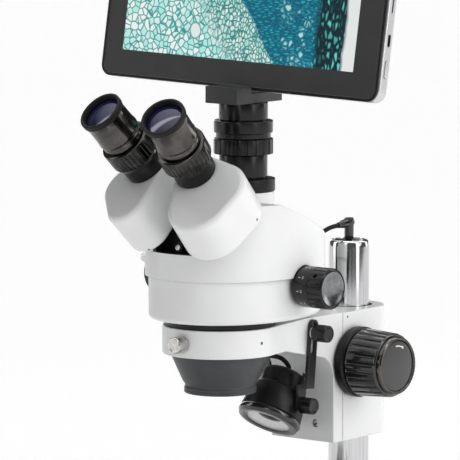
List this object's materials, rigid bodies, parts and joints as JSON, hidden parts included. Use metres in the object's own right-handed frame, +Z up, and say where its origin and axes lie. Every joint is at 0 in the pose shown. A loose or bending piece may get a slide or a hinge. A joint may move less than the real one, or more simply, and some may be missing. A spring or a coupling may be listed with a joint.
{
  "type": "stereo microscope",
  "caption": "Trinocular zoom stereo microscope on a pole stand with rack focus, swing lamp and a camera tablet on its photo port.",
  "frame": {"origin": "centre of the stage plate's top face, on the optical axis", "axes": "+X to the user's right, -Y towards the user, +Y towards the pole, +Z up"},
  "size_m": [0.2635, 0.3206, 0.5612],
  "materials": {
    "white_enamel": "satin white powder coat",
    "grey_cast": "matte dark grey paint",
    "black_plastic": "satin black",
    "black_gloss": "glossy black",
    "black_anodised": "black anodised",
    "polished_steel": "polished",
    "brass": "turned",
    "rubber": "matte",
    "frosted_glass": "frosted",
    "silver_case": "satin silver",
    "screen_glass": "polished cover glass",
    "circuit_board": "green solder mask",
    "led_white": "white reflector with yellow phosphor",
    "lens_glass": "coated lens"
  },
  "bodies": {
    "root": {"base_housing": "white_enamel", "base_cover": "grey_cast", "foot_front_left": "rubber", "foot_front_right": "rubber", "foot_rear_left": "rubber", "foot_rear_right": "rubber", "stage_plate": "frosted_glass", "stage_light": "led_white", "driver_board": "circuit_board", "power_socket": "black_plastic", "pole": "polished_steel", "pole_cap": "black_plastic", "cable_plug": "black_plastic", "lamp_cable": "rubber"},
    "switch": {"power_switch": "black_plastic"},
    "dimmer_left": {"dimmer_knob_left": "black_plastic"},
    "dimmer_right": {"dimmer_knob_right": "black_plastic"},
    "clip_left": {"stage_clip_left": "polished_steel"},
    "clip_right": {"stage_clip_right": "polished_steel"},
    "bush": {"pole_bush": "black_plastic"},
    "block": {"clamp_block": "white_enamel"},
    "pole_knob": {"pole_clamp_knob": "black_plastic"},
    "focus_drive": {"pinion_shaft": "polished_steel", "focus_knob_left": "black_plastic", "focus_knob_right": "black_plastic"},
    "tension": {"tension_collar": "black_plastic"},
    "carriage": {"holder_arm": "white_enamel", "focus_rack": "polished_steel"},
    "ring_screw": {"ring_clamp_screw": "polished_steel"},
    "lamp_pivot": {"lamp_washer": "polished_steel"},
    "bracket": {"lamp_bracket": "black_anodised"},
    "bracket_knob": {"lamp_knob_upper": "black_plastic"},
    "lamp_knob": {"lamp_knob_lower": "black_plastic"},
    "lamp": {"lamp_housing": "black_plastic", "lamp_bezel": "black_gloss", "lamp_led": "led_white"},
    "head": {"neck_flange": "black_anodised", "objective_cone": "grey_cast", "objective_left": "brass", "objective_right": "brass", "lower_housing": "white_enamel", "upper_housing": "white_enamel", "photo_tube": "white_enamel"},
    "zoom": {"zoom_shaft": "polished_steel", "zoom_knob_left": "black_plastic", "zoom_knob_right": "black_plastic"},
    "selector": {"light_path_rod": "polished_steel"},
    "tube_left": {"tube_housing_left": "white_enamel"},
    "tube_right": {"tube_housing_right": "white_enamel"},
    "diopter_left": {"diopter_ring_left": "black_plastic", "eyepiece_left": "black_anodised"},
    "diopter_right": {"diopter_ring_right": "black_plastic", "eyepiece_right": "black_anodised"},
    "camera": {"c_mount_tube": "black_anodised", "camera_box": "black_anodised"},
    "camera_focus": {"c_mount_ring": "black_anodised"},
    "tablet": {"tablet_hinge": "black_plastic", "tablet_back": "silver_case", "tablet_front": "screen_glass"},
    "side_button": {"tablet_button": "black_plastic"}
  },
  "joints": [
    {"name": "power_rocker", "type": "hinge", "parent": "root", "child": "switch", "pos_m": [-0.05, 0.184, -0.03], "axis": [1, 0, 0], "range_deg": [0, 16]},
    {"name": "dimmer_left_turn", "type": "hinge", "parent": "root", "child": "dimmer_left", "pos_m": [-0.1025, -0.07, -0.028], "axis": [-1, 0, 0], "range_deg": [-135, 135]},
    {"name": "dimmer_right_turn", "type": "hinge", "parent": "root", "child": "dimmer_right", "pos_m": [0.1025, -0.07, -0.028], "axis": [1, 0, 0], "range_deg": [-135, 135]},
    {"name": "clip_left_swing", "type": "hinge", "parent": "root", "child": "clip_left", "pos_m": [-0.06, 0.022, 0], "axis": [0, 0, 1], "range_deg": [-15, 40]},
    {"name": "clip_right_swing", "type": "hinge", "parent": "root", "child": "clip_right", "pos_m": [0.06, 0.022, 0], "axis": [0, 0, 1], "range_deg": [-40, 15]},
    {"name": "pole_slide", "type": "slide", "parent": "root", "child": "bush", "axis": [0, 0, 1], "range_m": [-0.03, 0.04], "deforming": ["lamp_cable"]},
    {"name": "pole_swivel", "type": "hinge", "parent": "bush", "child": "block", "pos_m": [0, 0.1486, 0.106], "axis": [0, 0, 1], "range_deg": [-90, 90]},
    {"name": "pole_knob_turn", "type": "hinge", "parent": "block", "child": "pole_knob", "pos_m": [0, 0.17, 0.106], "axis": [0, 1, 0], "range_deg": [0, 360]},
    {"name": "focus_slide", "type": "slide", "parent": "block", "child": "carriage", "axis": [0, 0, 1], "range_m": [-0.025, 0.025]},
    {"name": "focus_turn", "type": "hinge", "parent": "block", "child": "focus_drive", "pos_m": [0, 0.119, 0.117], "axis": [1, 0, 0], "range_deg": [-180, 180]},
    {"name": "tension_turn", "type": "hinge", "parent": "block", "child": "tension", "pos_m": [0.034, 0.119, 0.117], "axis": [1, 0, 0], "range_deg": [-30, 60]},
    {"name": "ring_screw_turn", "type": "hinge", "parent": "carriage", "child": "ring_screw", "pos_m": [0, -0.042, 0.144], "axis": [0, -1, 0], "range_deg": [0, 360]},
    {"name": "lamp_swing", "type": "hinge", "parent": "carriage", "child": "lamp_pivot", "pos_m": [0.0325, 0.068, 0.1437], "axis": [1, 0, 0], "range_deg": [-10, 3]},
    {"name": "lamp_extend", "type": "slide", "parent": "lamp_pivot", "child": "bracket", "axis": [0, 0.0988, 0.9951], "range_m": [-0.004, 0.005]},
    {"name": "lamp_tilt", "type": "hinge", "parent": "bracket", "child": "lamp", "pos_m": [0, 0.0627, 0.0903], "axis": [1, 0, 0], "range_deg": [-25, 25]},
    {"name": "bracket_knob_turn", "type": "hinge", "parent": "carriage", "child": "bracket_knob", "pos_m": [0.04, 0.068, 0.1437], "axis": [1, 0, 0], "range_deg": [0, 360]},
    {"name": "lamp_knob_turn", "type": "hinge", "parent": "bracket", "child": "lamp_knob", "pos_m": [0.03, 0.0627, 0.0903], "axis": [1, 0, 0], "range_deg": [0, 360]},
    {"name": "head_turn", "type": "hinge", "parent": "carriage", "child": "head", "pos_m": [0, 0, 0.144], "axis": [0, 0, 1], "range_deg": [-180, 180]},
    {"name": "zoom_turn", "type": "hinge", "parent": "head", "child": "zoom", "pos_m": [0, 0.026, 0.184], "axis": [1, 0, 0], "range_deg": [-120, 150]},
    {"name": "light_path_slide", "type": "slide", "parent": "head", "child": "selector", "axis": [-1, 0, 0], "range_m": [0, 0.008]},
    {"name": "eye_spacing_right", "type": "hinge", "parent": "head", "child": "tube_right", "pos_m": [0.0237, -0.036, 0.2327], "axis": [0.1045, -0.7032, 0.7032], "range_deg": [-22, 4]},
    {"name": "eye_spacing_left", "type": "hinge", "parent": "head", "child": "tube_left", "pos_m": [-0.0237, -0.036, 0.2327], "axis": [-0.1045, -0.7032, 0.7032], "range_deg": [-4, 22]},
    {"name": "diopter_right_turn", "type": "hinge", "parent": "tube_right", "child": "diopter_right", "pos_m": [0.02311, -0.06803, 0.28608], "axis": [0.1045, -0.7032, 0.7032], "range_deg": [-90, 90]},
    {"name": "diopter_left_turn", "type": "hinge", "parent": "tube_left", "child": "diopter_left", "pos_m": [-0.02828, -0.06686, 0.28647], "axis": [-0.1045, -0.7032, 0.7032], "range_deg": [-90, 90]},
    {"name": "camera_swivel", "type": "hinge", "parent": "head", "child": "camera", "pos_m": [0, 0.026, 0.26], "axis": [0, 0, 1], "range_deg": [-45, 45]},
    {"name": "camera_focus_turn", "type": "hinge", "parent": "camera", "child": "camera_focus", "pos_m": [0, 0.026, 0.282], "axis": [0, 0, 1], "range_deg": [-90, 90]},
    {"name": "tablet_tilt", "type": "hinge", "parent": "camera", "child": "tablet", "pos_m": [0, 0.0375, 0.333], "axis": [1, 0, 0], "range_deg": [-30, 5]},
    {"name": "button_press", "type": "slide", "parent": "tablet", "child": "side_button", "axis": [-0.9997, 0.0034, 0.0224], "range_m": [0, 0.0006]}
  ],
  "couplings": [
    {"joint": "focus_turn", "follows": "focus_slide", "rad_per_m": -125},
    {"joint": "eye_spacing_left", "follows": "eye_spacing_right", "ratio": -1}
  ]
}
